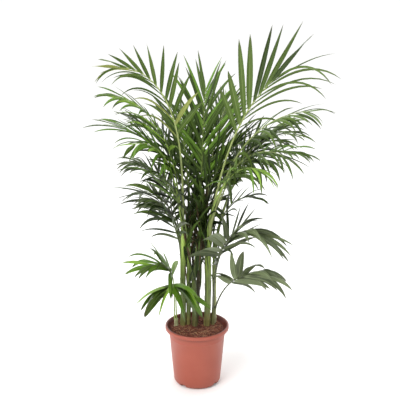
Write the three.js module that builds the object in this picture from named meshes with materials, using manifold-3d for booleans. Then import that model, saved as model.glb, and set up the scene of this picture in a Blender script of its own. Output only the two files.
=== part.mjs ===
// Cat palm in a round nursery pot.
//
// A clump of slender sheathed stems stands in the soil of a tapered plastic pot. Each stem ends in a
// flat cut where its leaf stalks leave it, and each frond is one thin blade: a bare stalk that widens
// into the outline of its leaflets, folded upwards a little along the rib.
//
// Millimetres, +Z up. The origin is the middle of the pot's flat underside, +X is the plant's right
// and -Y its front.

import * as THREE from 'three';
import { mergeVertices } from 'three/addons/utils/BufferGeometryUtils.js';
import Module from 'manifold-3d';

const wasm = await Module();
wasm.setup();

// ---------------------------------------------------------------- driving dimensions

const CLEARANCE = 0.3; // between pieces that touch on the real plant
const CUT_CLEARANCE = 0.5; // round a frond where another one passes through its outline
const EDGE_CLEARANCE = 8; // the same, beyond the sharp edge of a blade

const POT_HEIGHT = 230;
const POT_FOOT_RADIUS = 89;
const POT_FOOT_ROUND = 16;
const POT_TOP_RADIUS = 107; // outside of the wall, just under the lip
const POT_WALL = 2.4;
const POT_FLOOR = 3;
const LIP_RADIUS = 120;
const LIP_HEIGHT = 14;
const LIP_INNER_RADIUS = 112;
const LIP_ROUND = 3;

const DRAIN_COUNT = 4;
const DRAIN_WIDTH = 26;
const DRAIN_HEIGHT = 14;
const DRAIN_INNER_RADIUS = 70;
const DRAIN_OVERSHOOT = 10; // of the opening's cutter, past the outside of the foot
const DRAIN_FIRST_ANGLE = 52.5; // degrees from +X

const SOIL_EDGE_HEIGHT = 214;
const SOIL_TOP = 222; // the flat middle, where the stems stand
const SOIL_FLAT_RADIUS = 92;

const STEM_TAPER_POWER = 1.5; // above 1, a stem tapers sooner above its foot

const STALK_RADIUS = 2.6; // half the width of a leaf stalk
const SEAT_PITCH = 7.2; // between neighbouring stalks on one stem
const BLADE_HALF_THICKNESS = 2; // at the rib; the blade thins to a sharp edge
const BLADE_FOLD = 20; // degrees that each half of a blade rises from the rib
const BLADE_WIDTH_SHARE = 0.6; // half width of a blade, as a share of its longest leaflet
const TIP_SHARE = 0.6; // how far the last leaflets usually reach past the rib's end, likewise
const RIB_KEEP = 3.0; // a frond's own rib and stalk are never cut inside this radius
const RIB_CLEAR = 3.8; // and other fronds keep this far from them
const BLADE_LEAN = 0.85; // below 1, a blade is widest nearer its foot
const BLADE_FULLNESS = 0.7; // below 1, its ends are blunter

const AROUND = 24; // facets round the pot and the soil
const FOOT_ROUND_STEPS = 3;
const LIP_ROUND_STEPS = 1;
const STEM_SIDES = 8;
const STEM_STATIONS = 2;
const STALK_STATIONS = 3;
const BLADE_STATIONS = 5;
const GROWTH_STEPS = 60;

// Each stem: where it stands on the soil, where it ends, and its radius at both ends.
const STEMS = [
  { name: 'stem_a', foot: [-80, 10], top: [-78, 8, 250], radii: [9, 7] },
  { name: 'stem_b', foot: [-54, 14], top: [-49, 18, 600], radii: [11, 10] },
  { name: 'stem_c', foot: [-8, 8], top: [-12, 12, 405], radii: [12, 9] },
  { name: 'stem_d', foot: [-4, 44], top: [12, 42, 500], radii: [9, 8] },
  { name: 'stem_e', foot: [37, 10], top: [46, 14, 620], radii: [13, 10] },
  { name: 'stem_f', foot: [66, 38], top: [64, 50, 500], radii: [8, 8] },
  { name: 'stem_g', foot: [58, 16], top: [63, 22, 290], radii: [8, 7] },
  { name: 'stem_h', foot: [-50, 40], top: [-52, 46, 430], radii: [9, 8] },
  { name: 'stem_i', foot: [-33, 20], top: [-29, 22, 560], radii: [9, 8] },
  { name: 'stem_j', foot: [36, 40], top: [36, 46, 560], radii: [9, 8] },
];

// Each frond: its stem, its seat on the stem's cut (0 in the middle, 1 to 6 round it), the compass
// angle it grows to (0 along +X, 90 along +Y), its angle from upright at the stalk's foot and at the
// rib's end, how late it bends, the length of stalk and rib, the share of that which is bare stalk,
// the longest leaflet, how far the blade is rolled about its rib, and, where it isn't the usual
// one, the tip share. Degrees and millimetres.
const FRONDS = [
  ['stem_e', 0, -40, 14, 52, 2, 630, 0.6, 305, -40, 0.85],
  ['stem_e', 6, -25, 14, 84, 1.8, 600, 0.36, 200, -15],
  ['stem_b', 0, 212, 1, 90, 2.9, 720, 0.48, 205, 30],
  ['stem_b', 2, 205, 6, 74, 2.4, 590, 0.36, 200, 20],
  ['stem_b', 3, 190, 4, 74, 1.8, 460, 0.38, 210, 0],
  ['stem_b', 4, 218, 9, 100, 3, 440, 0.45, 170, 0],
  ['stem_h', 5, 168, 8, 58, 3, 325, 0.55, 165, 0],
  ['stem_h', 3, 200, 2, 60, 2.2, 280, 0.45, 180, 30],
  ['stem_h', 4, 185, 2, 66, 2.5, 312, 0.6, 170, 10],
  ['stem_a', 0, 262, 6, 95, 3, 205, 0.72, 165, 10],
  ['stem_g', 4, -35, 3, 96, 2.8, 400, 0.55, 200, -20],
  ['stem_g', 6, -30, 18, 78, 1.3, 235, 0.55, 165, -45],
  ['stem_d', 0, 80, 4, 20, 1.6, 610, 0.45, 250, 0],
  ['stem_e', 1, 15, 22, 104, 2.6, 475, 0.38, 190, -20],
  ['stem_e', 5, -38, 18, 112, 2.2, 480, 0.5, 185, -30],
  ['stem_e', 3, -52, 24, 100, 2.1, 410, 0.52, 175, -30],
  ['stem_c', 3, 228, 6, 60, 2.2, 505, 0.6, 210, 10],
  ['stem_c', 2, 5, 6, 44, 2.2, 565, 0.46, 220, -30],
  ['stem_f', 0, 35, 14, 75, 1.8, 560, 0.4, 220, -20],
  ['stem_f', 2, 80, 8, 60, 2, 560, 0.45, 230, 0],
  ['stem_d', 1, 100, 8, 70, 2, 560, 0.45, 230, 0],
  ['stem_d', 2, 132, 10, 85, 2, 560, 0.45, 220, 0],
  ['stem_i', 0, 145, 8, 80, 2.2, 500, 0.38, 210, 20],
  ['stem_c', 4, 165, 7, 91, 3.2, 495, 0.5, 170, 10],
  ['stem_j', 0, -30, 9, 103, 2.1, 455, 0.45, 170, 0],
  ['stem_f', 4, 10, 10, 112, 2.1, 560, 0.45, 180, -20],
  ['stem_f', 6, -8, 6, 104, 2.6, 285, 0.45, 160, -20],
  ['stem_j', 1, 32, 17, 114, 2.5, 460, 0.42, 180, 0],
  ['stem_j', 2, 80, 16, 120, 1.7, 400, 0.4, 200, 0],
  ['stem_h', 1, 125, 16, 120, 1.7, 440, 0.42, 200, 0],
  ['stem_h', 6, 150, 9, 100, 3.1, 490, 0.5, 170, 0],
  ['stem_c', 1, 70, 8, 96, 2.2, 355, 0.46, 150, 0],
  ['stem_g', 2, 12, 3, 56, 2.2, 350, 0.45, 180, 0],
  ['stem_j', 3, 60, 6, 45, 2, 500, 0.42, 230, 0],
  ['stem_i', 1, 105, 6, 55, 2, 480, 0.4, 230, 0],
  ['stem_a', 3, 185, 0, 85, 6, 225, 0.72, 168, 0],
  ['stem_j', 6, 20, 15, 110, 2.7, 490, 0.42, 175, 0],
].map(([stem, seat, azimuth, lean, droop, bend, length, bare, leaflet, roll, tip = TIP_SHARE], index) => ({
  name: `frond_${String(index + 1).padStart(2, '0')}`,
  stem: STEMS.find((entry) => entry.name === stem),
  seat,
  azimuth,
  lean,
  droop,
  bend,
  length,
  leaflet,
  roll,
  reach: length + tip * leaflet,
  bareShare: (bare * length) / (length + tip * leaflet),
}));

// ---------------------------------------------------------------- materials

const material = (color, roughness) => new THREE.MeshStandardMaterial({ color, roughness, metalness: 0 });
const POT_MATERIAL = () => material(0xc1674f, 0.55);
const SOIL_MATERIAL = () => material(0x5a3325, 0.95);
const STEM_MATERIAL = () => material(0x6e8040, 0.6);
const FROND_MATERIAL = () => material(0x456b26, 0.5);

// ---------------------------------------------------------------- closed solids and back

function toSolid(geometry) {
  const bare = geometry.clone();
  bare.deleteAttribute('normal');
  bare.deleteAttribute('uv');
  const merged = mergeVertices(bare);
  return new wasm.Manifold(
    new wasm.Mesh({
      numProp: 3,
      vertProperties: new Float32Array(merged.attributes.position.array),
      triVerts: new Uint32Array(merged.index.array),
    }),
  );
}

function toMesh(name, solid, surface) {
  const { vertProperties, triVerts } = solid.getMesh();
  const geometry = new THREE.BufferGeometry();
  geometry.setAttribute('position', new THREE.BufferAttribute(vertProperties, 3));
  geometry.setIndex(new THREE.BufferAttribute(triVerts, 1));
  geometry.computeVertexNormals();
  const mesh = new THREE.Mesh(geometry, surface);
  mesh.name = name;
  return mesh;
}

const boxesMeet = (a, b) => {
  const p = a.boundingBox();
  const q = b.boundingBox();
  return [0, 1, 2].every((axis) => p.min[axis] < q.max[axis] && q.min[axis] < p.max[axis]);
};

const cutBy = (solid, tool) => (boxesMeet(solid, tool) ? solid.subtract(tool) : solid);

// ---------------------------------------------------------------- pot and soil

const wallRadius = (z) => {
  const share = (z - POT_FOOT_ROUND) / (POT_HEIGHT - LIP_HEIGHT - POT_FOOT_ROUND);
  return POT_FOOT_RADIUS + (POT_TOP_RADIUS - POT_FOOT_RADIUS) * share;
};

function roundCorner(centreRadius, centreHeight, radius, fromAngle, toAngle, count) {
  return Array.from({ length: count + 1 }, (_, step) => {
    const angle = THREE.MathUtils.degToRad(fromAngle + ((toAngle - fromAngle) * step) / count);
    return new THREE.Vector2(centreRadius + radius * Math.cos(angle), centreHeight + radius * Math.sin(angle));
  });
}

function lathe(profile) {
  return new THREE.LatheGeometry(profile, AROUND).rotateX(Math.PI / 2);
}

function potShell() {
  const underLip = POT_HEIGHT - LIP_HEIGHT;
  const profile = [
    new THREE.Vector2(0, 0),
    ...roundCorner(POT_FOOT_RADIUS - POT_FOOT_ROUND, POT_FOOT_ROUND, POT_FOOT_ROUND, -90, 0, FOOT_ROUND_STEPS),
    new THREE.Vector2(POT_TOP_RADIUS, underLip),
    new THREE.Vector2(LIP_RADIUS, underLip + 1),
    ...roundCorner(LIP_RADIUS - LIP_ROUND, POT_HEIGHT - LIP_ROUND, LIP_ROUND, 0, 90, LIP_ROUND_STEPS),
    new THREE.Vector2(LIP_INNER_RADIUS, POT_HEIGHT),
    new THREE.Vector2(POT_TOP_RADIUS - POT_WALL, underLip),
    new THREE.Vector2(wallRadius(POT_FOOT_ROUND) - POT_WALL, POT_FOOT_ROUND),
    new THREE.Vector2(POT_FOOT_RADIUS - POT_FOOT_ROUND, POT_FLOOR),
    new THREE.Vector2(0, POT_FLOOR),
  ];
  return toSolid(lathe(profile));
}

// An opening through the rounded foot, from the soil to the outside.
function drainOpening(angle) {
  const depth = POT_FOOT_RADIUS + DRAIN_OVERSHOOT - DRAIN_INNER_RADIUS;
  const block = new THREE.BoxGeometry(depth, DRAIN_WIDTH, 2 * DRAIN_HEIGHT);
  block.translate(DRAIN_INNER_RADIUS + depth / 2, 0, 0);
  block.rotateZ(THREE.MathUtils.degToRad(angle));
  return toSolid(block);
}

function buildPot() {
  let pot = potShell();
  for (let drain = 0; drain < DRAIN_COUNT; drain += 1) {
    pot = pot.subtract(drainOpening(DRAIN_FIRST_ANGLE + (360 / DRAIN_COUNT) * drain));
  }
  return pot;
}

// Soil: it fills the pot and rises gently to the clump in the middle.
function buildSoil() {
  const inside = POT_WALL + 2 * CLEARANCE;
  const profile = [
    new THREE.Vector2(0, POT_FLOOR + CLEARANCE),
    new THREE.Vector2(POT_FOOT_RADIUS - POT_FOOT_ROUND - 2 * CLEARANCE, POT_FLOOR + CLEARANCE),
    new THREE.Vector2(wallRadius(POT_FOOT_ROUND) - inside, POT_FOOT_ROUND + CLEARANCE),
    new THREE.Vector2(wallRadius(SOIL_EDGE_HEIGHT) - inside, SOIL_EDGE_HEIGHT),
    new THREE.Vector2(SOIL_FLAT_RADIUS, SOIL_TOP),
    new THREE.Vector2(0, SOIL_TOP),
  ];
  return toSolid(lathe(profile));
}

// ---------------------------------------------------------------- stems

// A stem tapers quickly above its foot and then slowly, between two level cuts. Extra radius makes
// the tool that keeps the fronds of other stems away from it.
function buildStem({ foot, top, radii }, extra = 0) {
  const [footRadius, topRadius] = radii;
  const start = SOIL_TOP + CLEARANCE;
  const stem = new THREE.CylinderGeometry(1, 1, 1, STEM_SIDES, STEM_STATIONS);
  stem.rotateX(Math.PI / 2).translate(0, 0, 0.5);
  const places = stem.attributes.position;
  for (let index = 0; index < places.count; index += 1) {
    const share = places.getZ(index);
    const radius = topRadius + (footRadius - topRadius) * (1 - share) ** STEM_TAPER_POWER + extra;
    places.setXYZ(
      index,
      foot[0] + (top[0] - foot[0]) * share + radius * places.getX(index),
      foot[1] + (top[1] - foot[1]) * share + radius * places.getY(index),
      start + (top[2] - start) * share,
    );
  }
  return toSolid(stem);
}

// ---------------------------------------------------------------- fronds

const direction = (tilt, azimuth) =>
  new THREE.Vector3(
    Math.sin(tilt) * Math.cos(azimuth),
    Math.sin(tilt) * Math.sin(azimuth),
    Math.cos(tilt),
  );

// The rib's path: it leaves the stem near upright and turns over as it grows. The path runs on past
// the rib's end, as far as the last leaflets reach.
function growPath(frond) {
  const azimuth = THREE.MathUtils.degToRad(frond.azimuth);
  const seatAngle = (Math.PI / 3) * frond.seat;
  const seatRadius = frond.seat === 0 ? 0 : SEAT_PITCH;
  const [x, y, z] = frond.stem.top;
  const place = new THREE.Vector3(
    x + seatRadius * Math.cos(seatAngle),
    y + seatRadius * Math.sin(seatAngle),
    z + CLEARANCE,
  );
  const path = [];
  for (let step = 0; step <= GROWTH_STEPS; step += 1) {
    const grown = Math.min(1, ((step / GROWTH_STEPS) * frond.reach) / frond.length);
    const tilt = THREE.MathUtils.degToRad(frond.lean + (frond.droop - frond.lean) * grown ** frond.bend);
    const along = direction(tilt, azimuth);
    path.push({ place: place.clone(), along, azimuth });
    place.addScaledVector(along, frond.reach / GROWTH_STEPS);
  }
  return path;
}

// The blade's sideways and upward axes at one place on the path. The stalk's foot is cut level.
function sectionAxes({ along, azimuth }, frond, level) {
  const across = new THREE.Vector3(-Math.sin(azimuth), Math.cos(azimuth), 0);
  if (level) return [across, new THREE.Vector3(-Math.cos(azimuth), -Math.sin(azimuth), 0)];
  const face = new THREE.Vector3().crossVectors(along, across);
  const roll = THREE.MathUtils.degToRad(frond.roll);
  const side = across.clone().multiplyScalar(Math.cos(roll)).addScaledVector(face, Math.sin(roll));
  const up = face.clone().multiplyScalar(Math.cos(roll)).addScaledVector(across, -Math.sin(roll));
  return [side, up];
}

// Half the blade's width at a share of the whole reach: a bare stalk, then the leaflets' outline.
function halfWidth({ bareShare, leaflet }, share) {
  if (share <= bareShare) return STALK_RADIUS;
  const along = Math.min(1, (share - bareShare) / (1 - bareShare));
  const widest = BLADE_WIDTH_SHARE * leaflet;
  return Math.max(STALK_RADIUS, widest * Math.sin(Math.PI * along ** BLADE_LEAN) ** BLADE_FULLNESS);
}

function stationShares({ bareShare }) {
  const stalk = Array.from({ length: STALK_STATIONS }, (_, step) => (bareShare * step) / STALK_STATIONS);
  const blade = Array.from(
    { length: BLADE_STATIONS + 1 },
    (_, step) => bareShare + ((1 - bareShare) * step) / BLADE_STATIONS,
  );
  return [...stalk, ...blade];
}

// A bar of rhombic section is stretched along the frond's path. Its sharp sides become the edges of
// the blade and rise from the rib by the fold.
function loft(frond, halfWidthAt, halfThicknessAt) {
  const path = growPath(frond);
  const shares = stationShares(frond);
  const section = new THREE.Shape([
    new THREE.Vector2(-1, 0),
    new THREE.Vector2(0, -1),
    new THREE.Vector2(1, 0),
    new THREE.Vector2(0, 1),
  ]);
  const bar = new THREE.ExtrudeGeometry(section, {
    depth: shares.length - 1,
    steps: shares.length - 1,
    bevelEnabled: false,
  });
  const places = bar.attributes.position;
  for (let index = 0; index < places.count; index += 1) {
    const station = Math.round(places.getZ(index));
    const share = shares[station];
    const exact = share * GROWTH_STEPS;
    const before = Math.min(GROWTH_STEPS - 1, Math.floor(exact));
    const place = path[before].place.clone().lerp(path[before + 1].place, exact - before);
    const [side, up] = sectionAxes(path[Math.round(exact)], frond, station === 0);
    const sideways = places.getX(index) * halfWidthAt(share);
    const fold = Math.abs(sideways) * Math.tan(THREE.MathUtils.degToRad(BLADE_FOLD));
    place.addScaledVector(side, sideways);
    place.addScaledVector(up, fold + places.getY(index) * halfThicknessAt(share));
    places.setXYZ(index, place.x, place.y, place.z);
  }
  return toSolid(bar);
}

function buildFrond(frond) {
  const halfThickness = (share) => (share <= frond.bareShare ? STALK_RADIUS : BLADE_HALF_THICKNESS);
  return {
    blade: loft(frond, (share) => halfWidth(frond, share), halfThickness),
    bladeTool: loft(
      frond,
      (share) => halfWidth(frond, share) + EDGE_CLEARANCE,
      (share) => halfThickness(share) + CUT_CLEARANCE,
    ),
    ribKeep: loft(frond, () => RIB_KEEP, () => RIB_KEEP),
    ribTool: loft(frond, () => RIB_CLEAR, () => RIB_CLEAR),
  };
}

// Fronds that cross share the space: every rib passes whole through the other blades, and where two
// blades meet, the later one gives way to the earlier. Loose corners fall away.
function fitFronds(stems) {
  const built = FRONDS.map((frond) => buildFrond(frond));
  return built.map(({ blade, ribKeep }, index) => {
    let fitted = blade;
    built.forEach((other, otherIndex) => {
      if (otherIndex > index) fitted = cutBy(fitted, other.ribTool);
      if (otherIndex < index && boxesMeet(fitted, other.bladeTool)) {
        fitted = fitted.subtract(cutBy(other.bladeTool, ribKeep));
      }
    });
    stems.forEach(({ stem, tool }) => {
      if (stem !== FRONDS[index].stem) fitted = cutBy(fitted, tool);
    });
    const pieces = fitted.decompose();
    return pieces.reduce((largest, piece) => (piece.volume() > largest.volume() ? piece : largest));
  });
}

// ---------------------------------------------------------------- the plant

const plant = new THREE.Group();
plant.add(toMesh('pot', buildPot(), POT_MATERIAL()));
plant.add(toMesh('soil', buildSoil(), SOIL_MATERIAL()));

const stems = STEMS.map((stem) => ({
  stem,
  solid: buildStem(stem),
  tool: buildStem(stem, CUT_CLEARANCE),
}));
stems.forEach(({ stem, solid }) => plant.add(toMesh(stem.name, solid, STEM_MATERIAL())));

fitFronds(stems).forEach((solid, index) => {
  plant.add(toMesh(FRONDS[index].name, solid, FROND_MATERIAL()));
});

export default plant;
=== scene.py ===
# %% [markdown]
# # A cat palm in its nursery pot
# A clump of slender green canes stands in a terracotta-coloured plastic pot and opens into feather
# fronds. The solids of the CAD model hold every size and place. In this lesson each of them gets a
# finished skin: a moulded pot, crumbly soil, sheathed canes, and a rib with leaflets for every frond.
# We start by loading the imported model. The finished plant has to stay in it.

# %% Load the frame
import math

import bpy
import numpy as np
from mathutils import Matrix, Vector
from mathutils.bvhtree import BVHTree


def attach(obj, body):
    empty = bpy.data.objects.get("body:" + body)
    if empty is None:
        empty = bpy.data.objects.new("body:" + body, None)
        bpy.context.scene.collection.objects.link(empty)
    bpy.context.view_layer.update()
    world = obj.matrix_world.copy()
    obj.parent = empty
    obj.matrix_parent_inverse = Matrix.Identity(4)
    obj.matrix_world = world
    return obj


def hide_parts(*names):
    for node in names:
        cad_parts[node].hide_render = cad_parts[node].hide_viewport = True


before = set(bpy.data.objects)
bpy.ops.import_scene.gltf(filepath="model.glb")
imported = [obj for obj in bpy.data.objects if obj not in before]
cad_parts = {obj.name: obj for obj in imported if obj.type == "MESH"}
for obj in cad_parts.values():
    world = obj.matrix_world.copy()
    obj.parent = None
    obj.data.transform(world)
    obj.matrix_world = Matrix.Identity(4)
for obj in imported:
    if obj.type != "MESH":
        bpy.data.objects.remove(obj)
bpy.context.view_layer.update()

MM = 0.001

# %% [markdown]
# ## Camera
# The plant is seen from the front, from a little above its crown. A lens of about 73 mm on a 36 mm
# sensor keeps the perspective gentle, so the pot's lip is a narrow ellipse. The camera is level from
# left to right and only tilts down.

# %% Camera
TILT_DOWN = 16  # degrees under the horizon
camera_data = bpy.data.cameras.new("camera")
camera_data.sensor_width = 36
camera_data.lens = 72.6
camera = bpy.data.objects.new("camera", camera_data)
camera.location = (0.011, -2.8, 1.52)
camera.rotation_euler = (math.radians(90 - TILT_DOWN), 0, 0)
bpy.context.scene.collection.objects.link(camera)
bpy.context.scene.camera = camera
print("camera at", tuple(round(x, 2) for x in camera.location))

# %% [markdown]
# ## Colours and nodes
# A shader socket takes linear colour, while a colour that we read off an object is sRGB. One function
# turns a hex value into linear numbers. A second one adds any node, with its settings and its links,
# so that each material below stays short enough to read. Every material ends in the same two nodes,
# the shader and the output, and most have a bump between their pattern and the shader. A last function
# adds those.

# %% Colour and node helpers
def linear(hex_colour):
    """An sRGB hex colour as the linear RGBA that a socket takes."""
    channels = [int(hex_colour[i : i + 2], 16) / 255 for i in (1, 3, 5)]
    return [c / 12.92 if c <= 0.04045 else ((c + 0.055) / 1.055) ** 2.4 for c in channels] + [1.0]


def add_node(material, kind, settings=(), inputs=()):
    """Adds a node. An input is a value, or a pair of a node and its output's name or number."""
    node = material.node_tree.nodes.new(kind)
    for name, value in dict(settings).items():
        setattr(node, name, value)
    for name, value in dict(inputs).items():
        if isinstance(value, tuple) and isinstance(value[0], bpy.types.Node):
            material.node_tree.links.new(value[0].outputs[value[1]], node.inputs[name])
        else:
            node.inputs[name].default_value = value
    return node


# Settings that come back: a Mix node blends two colours or multiplies them, and a Math node sums.
COLOUR_MIX = {"data_type": "RGBA"}
COLOUR_PRODUCT = {"data_type": "RGBA", "blend_type": "MULTIPLY"}
MULTIPLY_ADD, MULTIPLY = {"operation": "MULTIPLY_ADD"}, {"operation": "MULTIPLY"}


def new_material(name):
    """An empty material."""
    material = bpy.data.materials.new(name)
    material.use_nodes = True
    material.node_tree.nodes.clear()
    return material


def set_surface(material, inputs, relief=None, strength=0.0, distance=0.0):
    """Joins a Principled shader with these inputs to the output. A relief raises its surface."""
    if relief:
        bump_inputs = {"Strength": strength, "Distance": distance, "Height": relief}
        bump = add_node(material, "ShaderNodeBump", inputs=bump_inputs)
        inputs = {**inputs, "Normal": (bump, "Normal")}
    shader = add_node(material, "ShaderNodeBsdfPrincipled", inputs=inputs)
    add_node(material, "ShaderNodeOutputMaterial", inputs={"Surface": (shader, "BSDF")})
    return material


print("mid grey in linear numbers:", [round(x, 3) for x in linear("#808080")])

# %% [markdown]
# ## Floor and studio light
# A photographer's white table and large soft lamps leave only a faint shadow. The floor is a wide
# plane of pale, dull paint. The world is white as well: bright behind the plant, for a clean ground,
# and dimmer in front, since white light from every side would wash the depth out of the leaves. A big
# area lamp stands at each side of the camera, the left one much stronger, which models the round pot,
# and a third hangs over the crown.

# %% Floor and lights
def pale_floor():
    material = new_material("pale_studio_floor")
    coords = add_node(material, "ShaderNodeTexCoord")
    mottle = add_node(
        material, "ShaderNodeTexNoise", inputs={"Vector": (coords, "Object"), "Scale": 3.0, "Detail": 3.0}
    )
    colour = add_node(
        material, "ShaderNodeMix", COLOUR_MIX,
        {0: (mottle, "Fac"), 6: linear("#FBFBFA"), 7: linear("#FEFEFD")},
    )
    return set_surface(material, {"Base Color": (colour, 2), "Roughness": 0.9})


bpy.ops.object.select_all(action="DESELECT")
bpy.ops.mesh.primitive_plane_add(size=80, location=(0, 0, 0))
floor = bpy.context.object
floor.name = "studio_floor"
floor.data.materials.append(pale_floor())

world = bpy.data.worlds.new("studio_white")
bpy.context.scene.world = world
world.use_nodes = True
direction = add_node(world, "ShaderNodeTexCoord")
parts = add_node(world, "ShaderNodeSeparateXYZ", inputs={"Vector": (direction, "Generated")})
strength = add_node(
    world, "ShaderNodeMapRange",
    inputs={"Value": (parts, "Y"), "From Min": -0.1, "From Max": 0.6, "To Min": 0.66, "To Max": 1.68},
)
background = world.node_tree.nodes["Background"]
background.inputs["Color"].default_value = (1.0, 1.0, 1.0, 1.0)
world.node_tree.links.new(strength.outputs["Result"], background.inputs["Strength"])

PLANT_MIDDLE = Vector((0, 0, 0.7))
LAMPS = [  # name, place and size in metres, power in watts
    ("key_left", (-2.4, -3.0, 3.4), 2.8, 155.0),
    ("fill_right", (2.6, -2.8, 2.2), 2.6, 15.0),
    ("top_soft", (-0.3, 0.2, 4.2), 1.2, 80.0),
]
for name, place, size, power in LAMPS:
    lamp = bpy.data.lights.new(name, "AREA")
    lamp.size = size
    lamp.energy = power
    lamp_object = bpy.data.objects.new(name, lamp)
    lamp_object.location = place
    lamp_object.rotation_euler = (PLANT_MIDDLE - Vector(place)).to_track_quat("-Z", "Y").to_euler()
    bpy.context.scene.collection.objects.link(lamp_object)
bpy.context.scene.view_settings.view_transform = "Standard"
print("lamps:", [row[0] for row in LAMPS])

# %% [markdown]
# ## Helpers for turned pieces
# A pot, a bed of soil and a cane are all round and change only along their height, so they are made
# the way a lathe makes them: a ring of vertices is drawn once and then extruded from place to place,
# growing, shrinking, leaning or tilting as it goes. Blender's operators act on everything that is
# selected, so each helper first clears the selection.

# %% Turning helpers
def clear_selection():
    if bpy.context.object and bpy.context.object.mode != "OBJECT":
        bpy.ops.object.mode_set(mode="OBJECT")
    bpy.ops.object.select_all(action="DESELECT")


def turn(name, rings, sides):
    """Extrudes a ring through places of (x, y, z, radius, tilt in degrees) and caps both ends."""
    clear_selection()
    x, y, z, radius, _ = rings[0]
    bpy.ops.mesh.primitive_circle_add(vertices=sides, radius=radius, fill_type="NGON", location=(x, y, z))
    piece = bpy.context.object
    piece.name = piece.data.name = name
    bpy.ops.object.mode_set(mode="EDIT")
    bpy.ops.mesh.select_all(action="SELECT")
    for next_x, next_y, next_z, next_radius, tilt in rings[1:]:
        step = (next_x - x, next_y - y, next_z - z)
        bpy.ops.mesh.extrude_region_move(TRANSFORM_OT_translate={"value": step})
        x, y, z = next_x, next_y, next_z
        grow = next_radius / radius
        bpy.ops.transform.resize(value=(grow, grow, 1), center_override=(x, y, z))
        if tilt:
            bpy.ops.transform.rotate(value=math.radians(tilt), orient_axis="X", center_override=(x, y, z))
        radius = next_radius
    bpy.ops.mesh.select_all(action="SELECT")
    bpy.ops.mesh.normals_make_consistent(inside=False)
    bpy.ops.object.mode_set(mode="OBJECT")
    return piece


def settle(piece, angle=35):
    """Puts the piece's place into its mesh and shades it smooth, apart from its sharp edges."""
    clear_selection()
    piece.select_set(True)
    bpy.context.view_layer.objects.active = piece
    bpy.ops.object.transform_apply(location=True, rotation=True, scale=True)
    bpy.ops.object.shade_smooth_by_angle(angle=math.radians(angle))
    return piece


def use_modifier(piece, kind, **settings):
    """Adds a modifier to the piece and applies it at once."""
    modifier = piece.modifiers.new(kind.lower(), kind)
    for name, value in settings.items():
        setattr(modifier, name, value)
    clear_selection()
    bpy.context.view_layer.objects.active = piece
    piece.select_set(True)
    bpy.ops.object.modifier_apply(modifier=modifier.name)


def place_on_plant(piece, nodes):
    """The piece rides with the plant and stands in for its CAD nodes, which are hidden."""
    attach(piece, "root")
    if nodes:
        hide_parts(*nodes)


def triangles(piece):
    return sum(len(face.vertices) - 2 for face in piece.data.polygons)


# %% [markdown]
# ## The pot's plastic
# Such pots are injection-moulded polypropylene, coloured right through like fired clay. Moulding
# leaves a smooth skin with a soft, broad sheen, faint clouds in the pigment and a very fine grain from
# the mould. The grain of a real pot is about 0.3 mm; it is drawn here at 1.5 mm so that it shows. The
# colour carries more: inside the lip a dark brown that is partly a wet soil stain and partly painted
# shade from the crown, a painted shadow in the corner under the lip, and dust at the foot, a mark of
# use. The marks sit at heights and radii of the pot, so its sizes come first.

# %% Moulded polypropylene
POT_HEIGHT, LIP_HEIGHT = 230 * MM, 14 * MM
FOOT_RADIUS, TOP_RADIUS, LIP_RADIUS, LIP_INNER = 89 * MM, 107 * MM, 120 * MM, 112 * MM
FOOT_ROUND, LIP_ROUND, WALL, POT_FLOOR = 16 * MM, 3.5 * MM, 2.4 * MM, 3 * MM
UNDER_LIP = POT_HEIGHT - LIP_HEIGHT


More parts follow.
